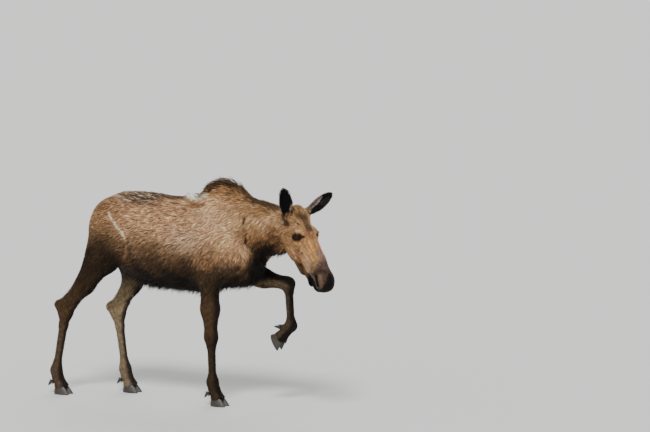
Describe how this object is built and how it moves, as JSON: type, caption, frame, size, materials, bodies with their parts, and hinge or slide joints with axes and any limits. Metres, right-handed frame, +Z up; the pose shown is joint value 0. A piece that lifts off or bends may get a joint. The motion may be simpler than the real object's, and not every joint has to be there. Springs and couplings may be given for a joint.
{
  "type": "moose",
  "caption": "Life-size cow moose without antlers, walking, with its left foreleg raised and its head low and turned to its right.",
  "frame": {"origin": "on the floor, under the middle of the animal's box", "axes": "+Z up, the animal faces -Y, its left side is +X"},
  "size_m": [0.575, 2.4982, 1.7583],
  "materials": {
    "coat": "coarse brown hair lying along the body, darker on the mane, belly and rump, paler on the flank",
    "dark_coat": "short flat dark brown hair on the lower legs",
    "hoof": "worn black horn",
    "eye": "wet dark brown eye"
  },
  "bodies": {
    "root": {"trunk": "coat", "neck": "coat", "head": "coat", "eye_left": "eye", "eye_right": "eye", "ear_left": "coat", "ear_right": "coat", "tail": "coat", "right_fore_forearm": "coat", "right_fore_cannon": "dark_coat", "right_fore_pastern": "dark_coat", "right_fore_hoof_inner": "hoof", "right_fore_hoof_outer": "hoof", "right_fore_dewclaw_inner": "hoof", "right_fore_dewclaw_outer": "hoof", "left_fore_forearm": "coat", "left_fore_cannon": "dark_coat", "left_fore_pastern": "dark_coat", "left_fore_hoof_inner": "hoof", "left_fore_hoof_outer": "hoof", "left_fore_dewclaw_inner": "hoof", "left_fore_dewclaw_outer": "hoof", "right_hind_thigh": "coat", "right_hind_gaskin": "coat", "right_hind_cannon": "dark_coat", "right_hind_pastern": "dark_coat", "right_hind_hoof_inner": "hoof", "right_hind_hoof_outer": "hoof", "right_hind_dewclaw_inner": "hoof", "right_hind_dewclaw_outer": "hoof", "left_hind_thigh": "coat", "left_hind_gaskin": "coat", "left_hind_cannon": "dark_coat", "left_hind_pastern": "dark_coat", "left_hind_hoof_inner": "hoof", "left_hind_hoof_outer": "hoof", "left_hind_dewclaw_inner": "hoof", "left_hind_dewclaw_outer": "hoof"}
  },
  "joints": []
}
